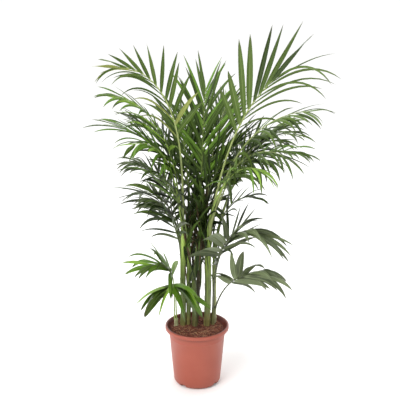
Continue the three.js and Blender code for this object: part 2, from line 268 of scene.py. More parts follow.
def moulded_polypropylene():
    material = new_material("moulded_terracotta_polypropylene")
    coords = add_node(material, "ShaderNodeTexCoord")
    clouds = add_node(
        material, "ShaderNodeTexNoise", inputs={"Vector": (coords, "Object"), "Scale": 14.0, "Detail": 4.0}
    )
    skin = add_node(
        material, "ShaderNodeMix", COLOUR_MIX,
        {0: (clouds, "Fac"), 6: linear("#92412F"), 7: linear("#A0503D")},
    )
    place = add_node(material, "ShaderNodeSeparateXYZ", inputs={"Vector": (coords, "Object")})
    flat = add_node(material, "ShaderNodeCombineXYZ", inputs={"X": (place, "X"), "Y": (place, "Y")})
    radius = add_node(material, "ShaderNodeVectorMath", {"operation": "LENGTH"}, {0: (flat, "Vector")})
    speckle = add_node(
        material, "ShaderNodeTexNoise", inputs={"Vector": (coords, "Object"), "Scale": 160.0, "Detail": 5.0}
    )
    # Partly a wet soil stain and partly painted shade: the inside up to the edge of the lip is darkened for
    # the shade that the crown casts into the pot.
    inside = add_node(
        material, "ShaderNodeMapRange", {"interpolation_type": "SMOOTHSTEP"},
        {
            "Value": (radius, "Value"),
            "From Min": LIP_RADIUS - 1.5 * MM,
            "From Max": LIP_RADIUS - 4.5 * MM,
            "To Max": 0.62,
        },
    )
    lip_foot = {"Value": (place, "Z"), "From Min": UNDER_LIP - 0.5 * MM, "From Max": UNDER_LIP + 0.5 * MM}
    high_up = add_node(material, "ShaderNodeMapRange", inputs=lip_foot)
    stain_and_shade = add_node(
        material, "ShaderNodeMath", MULTIPLY, {0: (inside, "Result"), 1: (high_up, "Result")}
    )
    stained_and_shaded = add_node(
        material, "ShaderNodeMix", COLOUR_MIX, {0: (stain_and_shade, "Value"), 6: (skin, 2), 7: linear("#4A1F15")}
    )
    # Painted shadow darkens the wall in the corner under the lip, where the lip's shadow falls. Dust gathers
    # at the foot.
    under_lip_shadow = add_node(
        material, "ShaderNodeMapRange", {"interpolation_type": "SMOOTHSTEP"},
        {
            "Value": (place, "Z"),
            "From Min": UNDER_LIP - 18 * MM,
            "From Max": UNDER_LIP - 2 * MM,
            "To Max": 0.55,
        },
    )
    wall_only = {0: (radius, "Value"), 1: TOP_RADIUS + LIP_ROUND}
    outside = add_node(material, "ShaderNodeMath", {"operation": "LESS_THAN"}, wall_only)
    shaded = add_node(
        material, "ShaderNodeMath", MULTIPLY, {0: (under_lip_shadow, "Result"), 1: (outside, "Value")}
    )
    lip_shadowed = add_node(
        material, "ShaderNodeMix", COLOUR_MIX,
        {0: (shaded, "Value"), 6: (stained_and_shaded, 2), 7: linear("#5A281C")},
    )
    splash = add_node(
        material, "ShaderNodeMapRange",
        inputs={"Value": (place, "Z"), "From Min": 30 * MM, "From Max": 0.0, "To Max": 0.35},
    )
    dust = add_node(material, "ShaderNodeMath", MULTIPLY, {0: (splash, "Result"), 1: (speckle, "Fac")})
    colour = add_node(
        material, "ShaderNodeMix", COLOUR_MIX, {0: (dust, "Value"), 6: (lip_shadowed, 2), 7: linear("#8C6A5C")}
    )
    sheen = add_node(
        material, "ShaderNodeMapRange",
        inputs={"Value": (clouds, "Fac"), "From Min": 0.3, "From Max": 0.7, "To Min": 0.36, "To Max": 0.46},
    )
    grain = add_node(
        material, "ShaderNodeTexNoise", inputs={"Vector": (coords, "Object"), "Scale": 650.0, "Detail": 2.0}
    )
    inputs = {"Base Color": (colour, 2), "Roughness": (sheen, "Result"), "IOR": 1.49}
    return set_surface(material, inputs, relief=(grain, "Fac"), strength=0.25, distance=0.2 * MM)


# %% [markdown]
# ## The pot
# The real pot is a thin tapered shell with a turned-out lip that stiffens it, a rounded foot, and
# openings in the foot where water drains. One closed ring path makes outside and inside in one go:
# up the outer wall, over the lip and down inside to the floor. The drain openings are cut afterwards
# with a rounded block, because a Boolean keeps the shell closed.

# %% Pot
def arc(centre_radius, centre_height, radius, start, end, steps):
    """Places along a quarter round, as (radius, height)."""
    for step in range(steps + 1):
        angle = math.radians(start + (end - start) * step / steps)
        yield centre_radius + radius * math.cos(angle), centre_height + radius * math.sin(angle)


def wall_radius(z):
    return FOOT_RADIUS + (TOP_RADIUS - FOOT_RADIUS) * (z - FOOT_ROUND) / (UNDER_LIP - FOOT_ROUND)


STEP_HEIGHT = 186 * MM  # a shallow step in the wall, where stacked pots rest on each other
outline = [
    (40 * MM, 0.0),
    *arc(FOOT_RADIUS - FOOT_ROUND, FOOT_ROUND, FOOT_ROUND, -90, 0, 8),
    (wall_radius(100 * MM), 100 * MM),
    (wall_radius(STEP_HEIGHT) - 0.5 * MM, STEP_HEIGHT),
    (wall_radius(STEP_HEIGHT) + 0.3 * MM, STEP_HEIGHT + 1 * MM),
    (TOP_RADIUS - 0.8 * MM, UNDER_LIP - 2 * MM),
    *arc(TOP_RADIUS + 1.5 * MM, UNDER_LIP - 1.8 * MM, 1.8 * MM, 180, 90, 3),
    *arc(LIP_RADIUS - 1.5 * MM, UNDER_LIP + 1.5 * MM, 1.5 * MM, -90, 0, 4),
    *arc(LIP_RADIUS - LIP_ROUND, POT_HEIGHT - LIP_ROUND, LIP_ROUND, 0, 90, 6),
    *arc(LIP_INNER + 2 * MM, POT_HEIGHT - 2 * MM, 2 * MM, 90, 180, 4),
    (TOP_RADIUS - WALL, UNDER_LIP),
    (wall_radius(FOOT_ROUND) - WALL, FOOT_ROUND),
    (FOOT_RADIUS - FOOT_ROUND, POT_FLOOR),
    (30 * MM, POT_FLOOR),
]
POT_SIDES, SOIL_SIDES, CANE_SIDES = 128, 160, 20
pot = turn("nursery_pot", [(0, 0, z, r, 0) for r, z in outline], POT_SIDES)

DRAIN_ANGLES, DRAIN_RADIUS = (52.5, 142.5, 232.5, 322.5), 84.5 * MM
for angle in DRAIN_ANGLES:
    clear_selection()
    turned = math.radians(angle)
    middle = (DRAIN_RADIUS * math.cos(turned), DRAIN_RADIUS * math.sin(turned), 0)
    bpy.ops.mesh.primitive_cube_add(
        size=1, location=middle, rotation=(0, 0, turned), scale=(27 * MM, 26 * MM, 28 * MM)
    )
    cutter = bpy.context.object
    bpy.ops.object.transform_apply(location=False, rotation=False, scale=True)
    use_modifier(cutter, "BEVEL", width=3 * MM, segments=3)
    use_modifier(pot, "BOOLEAN", operation="DIFFERENCE", object=cutter, solver="EXACT")
    bpy.data.objects.remove(cutter)
settle(pot)
pot.data.materials.append(moulded_polypropylene())
place_on_plant(pot, ["pot"])
print("pot:", triangles(pot), "triangles, lip", round(2 * LIP_RADIUS / MM), "mm across")

# %% [markdown]
# ## The potting mix
# Nursery mix is moist peat with coir and composted bark: reddish-brown crumbs, darker in the hollows,
# with pale fibres and chips on top. The bed is turned to fill the pot, its top is divided finely and
# then pushed up and down by two clouds, a broad one for the unevenness that a hand leaves and a fine
# one for crumbs. The colour follows crumbs of about 4 mm.

# %% Peat and bark materials
def peat(name, dark, light, crumb_mm):
    material = new_material(name)
    coords = add_node(material, "ShaderNodeTexCoord")
    crumbs = add_node(
        material, "ShaderNodeTexVoronoi",
        inputs={"Vector": (coords, "Object"), "Scale": 1 / (crumb_mm * MM), "Randomness": 1.0},
    )
    moist = add_node(
        material, "ShaderNodeTexNoise", inputs={"Vector": (coords, "Object"), "Scale": 60.0, "Detail": 6.0}
    )
    blend = add_node(
        material, "ShaderNodeMath", MULTIPLY_ADD, {0: (crumbs, "Distance"), 1: 0.6, 2: (moist, "Fac")}
    )
    limits = {"Value": (blend, "Value"), "From Min": 0.45, "From Max": 1.05}
    share = add_node(material, "ShaderNodeMapRange", inputs=limits)
    colour = add_node(
        material, "ShaderNodeMix", COLOUR_MIX, {0: (share, "Result"), 6: linear(dark), 7: linear(light)}
    )
    inputs = {"Base Color": (colour, 2), "Roughness": 0.92}
    return set_surface(material, inputs, relief=(blend, "Value"), strength=0.8, distance=1.5 * MM)


# %% Soil bed
SOIL_EDGE, SOIL_TOP = 214 * MM, 221 * MM
SOIL_SHOULDER = (104 * MM, 84 * MM)  # between these radii the bed rises to its top
WALL_GAP, FLOOR_GAP = 0.6 * MM, 0.3 * MM
soil_inside = WALL + WALL_GAP
soil_rings = [
    (30 * MM, POT_FLOOR + FLOOR_GAP),
    (FOOT_RADIUS - FOOT_ROUND - WALL_GAP, POT_FLOOR + FLOOR_GAP),
    (wall_radius(FOOT_ROUND) - soil_inside, FOOT_ROUND + FLOOR_GAP),
    (wall_radius(SOIL_EDGE) - soil_inside, SOIL_EDGE),
]
for radius in np.linspace(102.5 * MM, 4 * MM, 50):
    risen = min(1, (SOIL_SHOULDER[0] - radius) / (SOIL_SHOULDER[0] - SOIL_SHOULDER[1]))
    soil_rings.append((radius, SOIL_EDGE + (SOIL_TOP - SOIL_EDGE) * risen))
soil = turn("soil_bed", [(0, 0, z, r, 0) for r, z in soil_rings], SOIL_SIDES)
top_only = soil.vertex_groups.new(name="top")
lowest_of_top = SOIL_EDGE + 0.5 * MM - soil.location.z
top_only.add([v.index for v in soil.data.vertices if v.co.z > lowest_of_top], 1.0, "ADD")
settle(soil, angle=60)
SOIL_CLOUDS = [("heaps", 22 * MM, 7 * MM, 2), ("crumbs", 4.5 * MM, 5 * MM, 3)]
for name, size, strength, depth in SOIL_CLOUDS:
    clouds = bpy.data.textures.new(name, "CLOUDS")
    clouds.noise_scale = size
    clouds.noise_depth = depth
    use_modifier(
        soil, "DISPLACE", texture=clouds, texture_coords="LOCAL", direction="Z", strength=strength,
        mid_level=0.55, vertex_group="top",
    )
soil.data.materials.append(peat("moist_peat_mix", "#26100A", "#7A4030", 4.0))
place_on_plant(soil, ["soil"])
soil_surface = BVHTree.FromPolygons(
    [v.co[:] for v in soil.data.vertices], [face.vertices[:] for face in soil.data.polygons]
)
print("soil:", triangles(soil), "triangles")

# %% [markdown]
# ## Pieces made of many small things
# Chips, fibres and leaflets come in hundreds, so each kind is worked out as rows of numbers and made
# into one joined mesh. A function takes the points, the faces, the material of each face and, where a
# pattern follows the piece, the place of each point on its own map. Two more give the points and faces
# of a tube, and the height of the soil under a place.

# %% Joined mesh helper
def joined_mesh(name, points, faces, materials, face_material=None, places_on_map=None, smooth=True):
    mesh = bpy.data.meshes.new(name)
    mesh.from_pydata(np.asarray(points).tolist(), [], np.asarray(faces).tolist())
    for material in materials:
        mesh.materials.append(material)
    if face_material is not None:
        mesh.polygons.foreach_set("material_index", np.asarray(face_material, np.int32))
    if places_on_map is not None:
        layer = mesh.uv_layers.new(name="OFBake")
        under_lip_shadow = np.empty(len(mesh.loops), np.int32)
        mesh.loops.foreach_get("vertex_index", under_lip_shadow)
        layer.uv.foreach_set("vector", np.asarray(places_on_map, np.float32)[under_lip_shadow].ravel())
    mesh.polygons.foreach_set("use_smooth", [smooth] * len(mesh.polygons))
    mesh.update()
    piece = bpy.data.objects.new(name, mesh)
    bpy.context.scene.collection.objects.link(piece)
    return piece


def soil_height(x, y):
    hit = soil_surface.ray_cast(Vector((x, y, 0.4)), Vector((0, 0, -1)))
    return hit[0].z if hit[0] else SOIL_EDGE


def tube(centres, radii, sides):
    """Points and faces of a tube along its centres; its ends stay open, and narrow end rings make them
    small.
    """
    centres = np.asarray(centres, float)
    headings = np.gradient(centres, axis=0)
    headings /= np.linalg.norm(headings, axis=1)[:, None]
    guide = np.array([0.31, 0.17, 0.93]) if abs(headings[0][2]) < 0.8 else np.array([1.0, 0.1, 0.05])
    points = []
    for centre, heading, radius in zip(centres, headings, radii):
        side = np.cross(heading, guide)
        side /= np.linalg.norm(side)
        other = np.cross(heading, side)
        around = 2 * math.pi * np.arange(sides) / sides
        points.append(centre + radius * (np.outer(np.cos(around), side) + np.outer(np.sin(around), other)))
    rings = len(centres)
    faces = [
        (a * sides + b, a * sides + (b + 1) % sides, (a + 1) * sides + (b + 1) % sides, (a + 1) * sides + b)
        for a in range(rings - 1)
        for b in range(sides)
    ]
    return np.concatenate(points), faces


# %% [markdown]
# ## Litter on the soil
# Pale coir fibres and bark chips lie loose on the mix. A fibre is a thin curved thread, a chip is a
# flat splinter with bevelled sides. Both are scattered by a seeded rule inside the lip, and a ray that
# is cast down on each place finds the height of the soil there.

# %% Coir fibres and bark chips
FIBRES, CHIPS, FIBRE_STEPS, LITTER_SEED = 420, 520, 6, 5
LITTER_RADIUS, LIP_FREE_RADIUS = 96 * MM, 100 * MM
litter = np.random.default_rng(LITTER_SEED)


def scatter_place():
    radius = LITTER_RADIUS * math.sqrt(litter.uniform(0.02, 1))
    angle = litter.uniform(0, 2 * math.pi)
    return radius * math.cos(angle), radius * math.sin(angle)


fibre_points, fibre_faces = [], []
for _ in range(FIBRES):
    x, y = scatter_place()
    heading, bend = litter.uniform(0, 2 * math.pi), litter.uniform(-0.5, 0.5)
    length, start = litter.uniform(8, 26) * MM, sum(len(p) for p in fibre_points)
    centres = []
    for step in range(FIBRE_STEPS + 1):
        lifted = 0.6 + 1.5 * math.sin(math.pi * step / FIBRE_STEPS) * litter.uniform(0, 1)
        centres.append((x, y, soil_height(x, y) + lifted * MM))
        x += length / FIBRE_STEPS * math.cos(heading)
        y += length / FIBRE_STEPS * math.sin(heading)
        heading += bend
    if max(math.hypot(cx, cy) for cx, cy, _ in centres) > LIP_FREE_RADIUS:
        continue
    thick = litter.uniform(0.25, 0.6) * MM
    points, faces = tube(centres, [thick * 0.3, thick, thick, thick, thick, thick * 0.8, thick * 0.3], 4)
    fibre_points.append(points)
    fibre_faces += [tuple(i + start for i in face) for face in faces]
coir = peat("coir_fibre", "#8C5A40", "#C79A74", 6.0)
fibres = joined_mesh("coir_fibres", np.concatenate(fibre_points), fibre_faces, [coir])
place_on_plant(fibres, [])

chip_points, chip_faces = [], []
CHIP = np.array([[-1, -0.5, 0], [1, -0.35, 0], [0.9, 0.5, 0], [-0.8, 0.4, 0]])
CHIP_FACES = [(3, 2, 1, 0), (4, 5, 6, 7), (0, 1, 5, 4), (1, 2, 6, 5), (2, 3, 7, 6), (3, 0, 4, 7)]
for _ in range(CHIPS):
    x, y = scatter_place()
    size, spin = litter.uniform(1.5, 4.5) * MM, litter.uniform(0, 2 * math.pi)
    lean = litter.uniform(-0.5, 0.5, 2)
    base = CHIP * [size, size * litter.uniform(0.4, 0.9), 1] + litter.uniform(-0.3, 0.3, (4, 3)) * size
    turned = base[:, :2] @ np.array([[math.cos(spin), math.sin(spin)], [-math.sin(spin), math.cos(spin)]])
    tilt = turned @ lean
    low = np.column_stack([turned + [x, y], tilt + soil_height(x, y)])
    high = np.column_stack([turned * 0.8 + [x, y], tilt * 0.8 + soil_height(x, y) + 0.45 * size])
    start = 8 * len(chip_points)
    chip_points.append(np.concatenate([low, high]))
    chip_faces += [tuple(start + i for i in face) for face in CHIP_FACES]
bark = peat("composted_bark", "#2E140D", "#8C4F3A", 5.0)
chips = joined_mesh("bark_chips", np.concatenate(chip_points), chip_faces, [bark], smooth=False)
place_on_plant(chips, [])
print("litter:", len(fibre_points), "fibres,", len(chip_points), "chips")

# %% [markdown]
# ## Canes in their leaf sheaths
# A palm of this kind has no bark. Each cane is wrapped in the tubular feet of its leaves, one out of
# the other, smooth and green where they are young, dull olive and brown where they have dried near the
# soil. Fine ribs run up the sheath about 1.5 mm apart. The colour therefore changes with height, and
# stretched noise gives the streaks and the ribs. The streaks are drawn very dark, which is partly
# painted shade: the dark lines of shade between the overlapping sheaths.

# %% Leaf sheath material
def leaf_sheath(name, foot, middle, fresh, fresh_from, fresh_to):
    material = new_material(name)
    coords = add_node(material, "ShaderNodeTexCoord")
    height = add_node(material, "ShaderNodeSeparateXYZ", inputs={"Vector": (coords, "Object")})
    stretched = add_node(
        material, "ShaderNodeMapping", inputs={"Vector": (coords, "Object"), "Scale": (1.0, 1.0, 0.06)}
    )
    streaks = add_node(
        material, "ShaderNodeTexNoise",
        inputs={"Vector": (stretched, "Vector"), "Scale": 170.0, "Detail": 5.0, "Roughness": 0.65},
    )
    patches = add_node(
        material, "ShaderNodeTexNoise", inputs={"Vector": (coords, "Object"), "Scale": 18.0, "Detail": 3.0}
    )
    shifted = add_node(
        material, "ShaderNodeMath", MULTIPLY_ADD, {0: (patches, "Fac"), 1: 0.16, 2: (height, "Z")}
    )
    above_foot = add_node(
        material, "ShaderNodeMapRange",
        inputs={"Value": (shifted, "Value"), "From Min": 0.29, "From Max": 0.37},
    )
    young = add_node(
        material, "ShaderNodeMapRange",
        inputs={"Value": (shifted, "Value"), "From Min": fresh_from, "From Max": fresh_to},
    )
    low = add_node(
        material, "ShaderNodeMix", COLOUR_MIX,
        {0: (above_foot, "Result"), 6: linear(foot), 7: linear(middle)},
    )
    high = add_node(
        material, "ShaderNodeMix", COLOUR_MIX, {0: (young, "Result"), 6: (low, 2), 7: linear(fresh)}
    )
    # The darkest streaks, down to 0.4, are partly painted shade, the shade between the overlapping sheaths.
    shade = add_node(
        material, "ShaderNodeMapRange",
        inputs={"Value": (streaks, "Fac"), "From Min": 0.32, "From Max": 0.68, "To Min": 0.4, "To Max": 1.2},
    )
    colour = add_node(
        material, "ShaderNodeMix", COLOUR_PRODUCT, {0: 1.0, 6: (high, 2), 7: (shade, "Result")}
    )
    inputs = {"Base Color": (colour, 2), "Roughness": 0.48, "IOR": 1.45}
    return set_surface(material, inputs, relief=(streaks, "Fac"), strength=0.5, distance=0.8 * MM)


# Greens at the foot, in the middle and high up, and the heights in metres over which the last sets in.
SHEATHS = {
    "green": leaf_sheath("green_leaf_sheath", "#8E864E", "#6C7C40", "#A2BE56", 0.48, 0.62),
    "olive": leaf_sheath("olive_leaf_sheath", "#746C42", "#606C3A", "#7C9444", 0.48, 0.62),
    "brown": leaf_sheath("dry_leaf_sheath", "#5A4832", "#544C36", "#566436", 0.50, 0.75),
    "pale": leaf_sheath("pale_leaf_sheath", "#C8C29C", "#ACB47C", "#8CA45C", 0.45, 0.62),
}

# %% [markdown]
# ## Growing a cane
# A cane is turned from the soil to the place where its leaf stalks leave it. Each sheath swells
# slightly upwards and ends in a slanting edge, from which the next one comes out thinner, so the ring
# path grows, steps in and tilts again and again. A slow sideways wander keeps the canes from being
# dead straight. It fades out at both ends, where the cane meets the soil and the stalks. Some canes
# open a little below the top of their CAD solid, and there their stalks run on side by side.

# %% Canes
STEMS = {  # foot x, y; top x, y, z; radius at foot and top, all in mm; sheath finish
    "stem_a": (-80, 10, -78, 8, 250, 9, 7, "pale"),
    "stem_b": (-54, 14, -49, 18, 600, 11, 10, "green"),
    "stem_c": (-8, 8, -12, 12, 405, 12, 9, "olive"),
    "stem_d": (-4, 44, 12, 42, 500, 9, 8, "brown"),
    "stem_e": (37, 10, 46, 14, 620, 13, 10, "green"),
    "stem_f": (66, 38, 64, 50, 500, 8, 8, "pale"),
    "stem_g": (58, 16, 63, 22, 290, 8, 7, "olive"),
    "stem_h": (-50, 40, -52, 46, 430, 9, 8, "brown"),
    "stem_i": (-33, 20, -29, 22, 560, 9, 8, "green"),
    "stem_j": (36, 40, 36, 46, 560, 9, 8, "olive"),
}
STEM_START = 214 * MM  # a little under the crumbs, so that no gap shows
# Where a cane opens below its CAD cut, in mm.
CANE_END = {"stem_b": 575, "stem_d": 430, "stem_e": 560, "stem_f": 450, "stem_i": 530, "stem_j": 470}
CANE_SEED = 40


def cane_rings(stem, seed):
    foot_x, foot_y, top_x, top_y, top_z, foot_radius, top_radius, _ = STEMS[stem]
    cane_end = CANE_END.get(stem, top_z) * MM
    chance = np.random.default_rng(seed)
    wander, phase = chance.uniform(-2.2, 2.2, 2) * MM, chance.uniform(0, 6.28)
    edges, z = [], STEM_START + chance.uniform(18, 34) * MM
    while z < cane_end - 30 * MM:
        edges.append(z)
        z += chance.uniform(48, 105) * MM
    edges.append(cane_end)

    def ring(z, extra, tilt):
        share = (z - STEM_START) / (top_z * MM - STEM_START)
        sway = math.sin(math.pi * share) * math.sin(2.2 * math.pi * share + phase)
        radius = (top_radius + (foot_radius - top_radius) * (1 - share) ** 1.5) * MM
        return (
            (foot_x + (top_x - foot_x) * share) * MM + wander[0] * sway,
            (foot_y + (top_y - foot_y) * share) * MM + wander[1] * sway,
            z,
            radius + extra,
            tilt,
        )

    rings, start = [ring(STEM_START, 1.2 * MM, 0)], STEM_START
    for edge in edges:
        slant = chance.uniform(-9, 9)
        for share, extra in [(0.25, -0.5), (0.6, 0.0), (0.9, 0.5)]:
            rings.append(ring(start + (edge - start) * share, extra * MM, slant * share))
        start = edge
        if edge < edges[-1]:
            rings.append(ring(edge, 0.9 * MM, 0))
            rings.append(ring(edge + 0.8 * MM, -0.5 * MM, 0))
    rings.append(ring(edges[-1] - 1 * MM, 0.2 * MM, 0))
    rings.append(ring(edges[-1], -1.5 * MM, 0))
    return rings


for index, (stem, row) in enumerate(STEMS.items()):
    cane = turn(stem.replace("stem", "cane"), cane_rings(stem, CANE_SEED + index), CANE_SIDES)
    settle(cane, angle=50)
    cane.data.materials.append(SHEATHS[row[-1]])
    place_on_plant(cane, [stem])
print("canes:", len(STEMS))

# %% [markdown]
# ## How a frond grows
# A frond leaves its cane nearly upright and turns over as it grows, slowly at first and faster
# towards its end. Its angle from upright is lean + (droop - lean) * share ** bend. The same table and
# the same small steps that shaped the CAD blades are used here, so that each rib lies in its blade.
# The last columns are for the looks: the width of a leaflet, how far leaflets hang, their tone, and
# their habit, which says how they stand along the rib.

# %% Frond table and growth
# Lengths and widths in mm, angles in degrees; bare is the share of the length without leaflets.
FRONDS = [  # stem, seat, azimuth, lean, droop, bend, length, bare, leaflet, roll, width, hang, tone, habit
    ("stem_e", 0, -40, 14, 52, 2, 630, 0.6, 305, -40, 22, 0.28, "olive", "fan"),
    ("stem_e", 6, -25, 14, 84, 1.8, 600, 0.36, 200, -15, 13.3, 0.8, "olive", "open_feather"),
    ("stem_b", 0, 212, 1, 90, 2.9, 720, 0.48, 205, 30, 10, 0.8, "pale", "crown"),
    ("stem_b", 2, 205, 6, 74, 2.4, 590, 0.36, 200, 20, 14, 0.6, "fresh", "open_feather"),
    ("stem_b", 3, 190, 4, 74, 1.8, 460, 0.38, 210, 0, 14, 0.4, "mid", "level"),
    ("stem_b", 4, 218, 9, 100, 3, 440, 0.45, 170, 0, 17, 0.7, "fresh", "open_feather"),
    ("stem_h", 5, 168, 8, 58, 3, 325, 0.55, 165, 0, 17, 0.6, "smoke", "level"),
    ("stem_h", 3, 200, 2, 60, 2.2, 280, 0.45, 180, 30, 14, 0.9, "dusk", "hanging"),
    ("stem_h", 4, 185, 2, 66, 2.5, 312, 0.6, 170, 10, 14, 1, "dusk", "hanging"),
    ("stem_a", 0, 262, 6, 95, 3, 205, 0.72, 165, 10, 47, 1.9, "fresh", "young"),
    ("stem_g", 4, -35, 3, 96, 2.8, 400, 0.55, 200, -20, 24, 0.7, "haze", "half_young"),
    ("stem_g", 6, -30, 18, 78, 1.3, 235, 0.55, 165, -45, 30, 0.8, "haze", "young_right"),
    ("stem_d", 0, 80, 4, 20, 1.6, 610, 0.45, 250, 0, 15.5, 0.4, "mid", "upright"),
    ("stem_e", 1, 15, 22, 104, 2.6, 475, 0.38, 190, -20, 12.5, 0.8, "olive", "feather"),
    ("stem_e", 5, -38, 18, 112, 2.2, 480, 0.5, 185, -30, 12.5, 0.8, "olive", "open_feather"),
    ("stem_e", 3, -52, 24, 100, 2.1, 410, 0.52, 175, -30, 12.5, 1.5, "fresh", "open_feather"),
    ("stem_c", 3, 228, 6, 60, 2.2, 505, 0.6, 210, 10, 12.5, 0.7, "deep", "open_feather"),
    ("stem_c", 2, 5, 6, 44, 2.2, 565, 0.46, 220, -30, 13, 0.5, "deep", "upright"),
    ("stem_f", 0, 35, 14, 75, 1.8, 560, 0.4, 220, -20, 16.4, 0.5, "olive", "feather"),
    ("stem_f", 2, 80, 8, 60, 2, 560, 0.45, 230, 0, 10.5, 0.5, "deep", "upright"),
    ("stem_d", 1, 100, 8, 70, 2, 560, 0.45, 230, 0, 11, 0.5, "deep", "upright"),
    ("stem_d", 2, 132, 10, 85, 2, 560, 0.45, 220, 0, 13, 0.5, "deep", "feather"),
    ("stem_i", 0, 145, 8, 80, 2.2, 500, 0.38, 210, 20, 15, 0.5, "deep", "feather"),
    ("stem_c", 4, 165, 7, 91, 3.2, 495, 0.5, 170, 10, 13, 0.9, "dusk", "feather"),
    ("stem_j", 0, -30, 9, 103, 2.1, 455, 0.45, 170, 0, 13.3, 1, "deep", "hanging"),
    ("stem_f", 4, 10, 10, 112, 2.1, 560, 0.45, 180, -20, 13.3, 0.7, "mid", "feather"),
    ("stem_f", 6, -8, 6, 104, 2.6, 285, 0.45, 160, -20, 12.5, 0.7, "deep", "feather"),
    ("stem_j", 1, 32, 17, 114, 2.5, 460, 0.42, 180, 0, 13.3, 0.7, "deep", "feather"),
    ("stem_j", 2, 80, 16, 120, 1.7, 400, 0.4, 200, 0, 15.6, 0.6, "mid", "feather"),
    ("stem_h", 1, 125, 16, 120, 1.7, 440, 0.42, 200, 0, 15.6, 0.6, "deep", "feather"),
    ("stem_h", 6, 150, 9, 100, 3.1, 490, 0.5, 170, 0, 13, 0.9, "dusk", "feather"),
    ("stem_c", 1, 70, 8, 96, 2.2, 355, 0.46, 150, 0, 13.3, 0.9, "dusk", "feather"),
    ("stem_g", 2, 12, 3, 56, 2.2, 350, 0.45, 180, 0, 14, 0.5, "dusk", "feather"),
    ("stem_j", 3, 60, 6, 45, 2, 500, 0.42, 230, 0, 10.5, 0.5, "olive", "upright"),
    ("stem_i", 1, 105, 6, 55, 2, 480, 0.4, 230, 0, 13, 0.5, "mid", "upright"),
    ("stem_a", 3, 185, 0, 85, 6, 225, 0.72, 168, 0, 25, 0.8, "fresh", "young_left"),
    ("stem_j", 6, 20, 15, 110, 2.7, 490, 0.42, 175, 0, 13.3, 0.7, "deep", "feather"),
]
FROND_FIELDS = "stem seat azimuth lean droop bend length bare leaflet roll width hang tone habit".split()
FRONDS = [dict(zip(FROND_FIELDS, row), name=f"frond_{i + 1:02d}") for i, row in enumerate(FRONDS)]
SEAT_PITCH, SEAT_TURN = 7.2 * MM, 60  # stalks stand in a ring round the first, 60 degrees apart
GROWTH_STEPS = 60
TIP_SHARES = {"fan": 0.85}  # how far the last leaflets reach past the rib's end; 0.6 in all others


def unit_vector(tilt, azimuth):
    """The direction that leans by tilt from upright, towards the azimuth, both in radians."""
    flat = math.sin(tilt)
    return np.array([flat * math.cos(azimuth), flat * math.sin(azimuth), math.cos(tilt)])


def grow(frond):
    """Places along stalk and rib, and the angle from upright at each of them."""
    stem = STEMS[frond["stem"]]
    reach = (frond["length"] + TIP_SHARES.get(frond["habit"], 0.6) * frond["leaflet"]) * MM
    turned = math.radians(SEAT_TURN * frond["seat"])
    pitch = SEAT_PITCH if frond["seat"] else 0.0
    place = np.array([stem[2] * MM, stem[3] * MM, stem[4] * MM])
    place[:2] += pitch * math.cos(turned), pitch * math.sin(turned)
    azimuth = math.radians(frond["azimuth"])
    places, tilts = [], []
    for step in range(GROWTH_STEPS + 1):
        grown = min(1.0, step / GROWTH_STEPS * reach / (frond["length"] * MM))
        tilt = math.radians(frond["lean"] + (frond["droop"] - frond["lean"]) * grown ** frond["bend"])
        places.append(place.copy())
        tilts.append(tilt)
        place = place + unit_vector(tilt, azimuth) * reach / GROWTH_STEPS
    return np.array(places), np.array(tilts), reach


def rib_frame(frond, tilt):
    """Along the rib, to its side and up from its blade, with the blade's roll."""
    azimuth, roll = math.radians(frond["azimuth"]), math.radians(frond["roll"])
    along = unit_vector(tilt, azimuth)
    side = np.array([-math.sin(azimuth), math.cos(azimuth), 0.0])
    up = np.cross(along, side)
    return along, math.cos(roll) * side + math.sin(roll) * up, math.cos(roll) * up - math.sin(roll) * side


def place_at(frond, step):
    """The place on stalk and rib at a step, which may lie between two."""
    return [np.interp(step, range(GROWTH_STEPS + 1), frond["places"][:, k]) for k in range(3)]


print("fronds:", len(FRONDS))

# %% [markdown]
# ## Stalk and rib
# The stalk is a smooth green rod. Where its cane opens it stands in a bundle with the others, then it
# swings out and carries on as the rib, thinning to about a millimetre. The tallest fronds have the
# stoutest stalks and the young ones the thinnest. A tapering tube makes each of them. Its green is
# lighter than the leaflets', which is what draws the fine light lines through the crown.

# %% Green stalk material
def green_stalk(name, dark, light):
    material = new_material(name)
    coords = add_node(material, "ShaderNodeTexCoord")
    tint = add_node(
        material, "ShaderNodeTexNoise", inputs={"Vector": (coords, "Object"), "Scale": 25.0, "Detail": 3.0}
    )
    colour = add_node(
        material, "ShaderNodeMix", COLOUR_MIX, {0: (tint, "Fac"), 6: linear(dark), 7: linear(light)}
    )
    fine = add_node(
        material, "ShaderNodeTexNoise", inputs={"Vector": (coords, "Object"), "Scale": 500.0, "Detail": 2.0}
    )
    inputs = {"Base Color": (colour, 2), "Roughness": 0.45, "IOR": 1.45}
    return set_surface(material, inputs, relief=(fine, "Fac"), strength=0.3, distance=0.3 * MM)


STALKS = {
    "deep": green_stalk("green_stalk", "#4E5C2A", "#76864A"),
    "mid": green_stalk("light_green_stalk", "#5A6C2E", "#84964E"),
    "fresh": green_stalk("fresh_green_stalk", "#749036", "#A2B862"),
    "pale": green_stalk("yellow_green_stalk", "#8C9C50", "#BCC68A"),
    "dusk": green_stalk("shaded_green_stalk", "#3A4424", "#5C6A3A"),
    "olive": green_stalk("olive_stalk", "#7E8E4A", "#AEB87A"),
    "smoke": green_stalk("dull_stalk", "#3C4026", "#646A44"),
    "haze": green_stalk("grey_green_stalk", "#44483A", "#62664E"),
}


# %% Stalks and ribs
STALK_SIDES, RIB_STATIONS, BELOW_STATIONS = 8, 46, 7
BUNDLE_RADIUS, BUNDLE_OVERLAP, SEAT_OVERLAP = 3.3 * MM, 12 * MM, 6 * MM
GATHERED_AT_FOOT = 0.55  # how far out a stalk stands at the bundle's foot, as a share of its seat


def stalk_radius(share, bare, stoutness):
    """Radius along stalk and rib, in metres: an even stalk and then a thinning rib."""
    if share <= bare:
        return stoutness * (3.2 - 0.8 * share / bare) * MM
    return stoutness * (0.5 + 1.9 * (1 - (share - bare) / (1 - bare)) ** 0.8) * MM


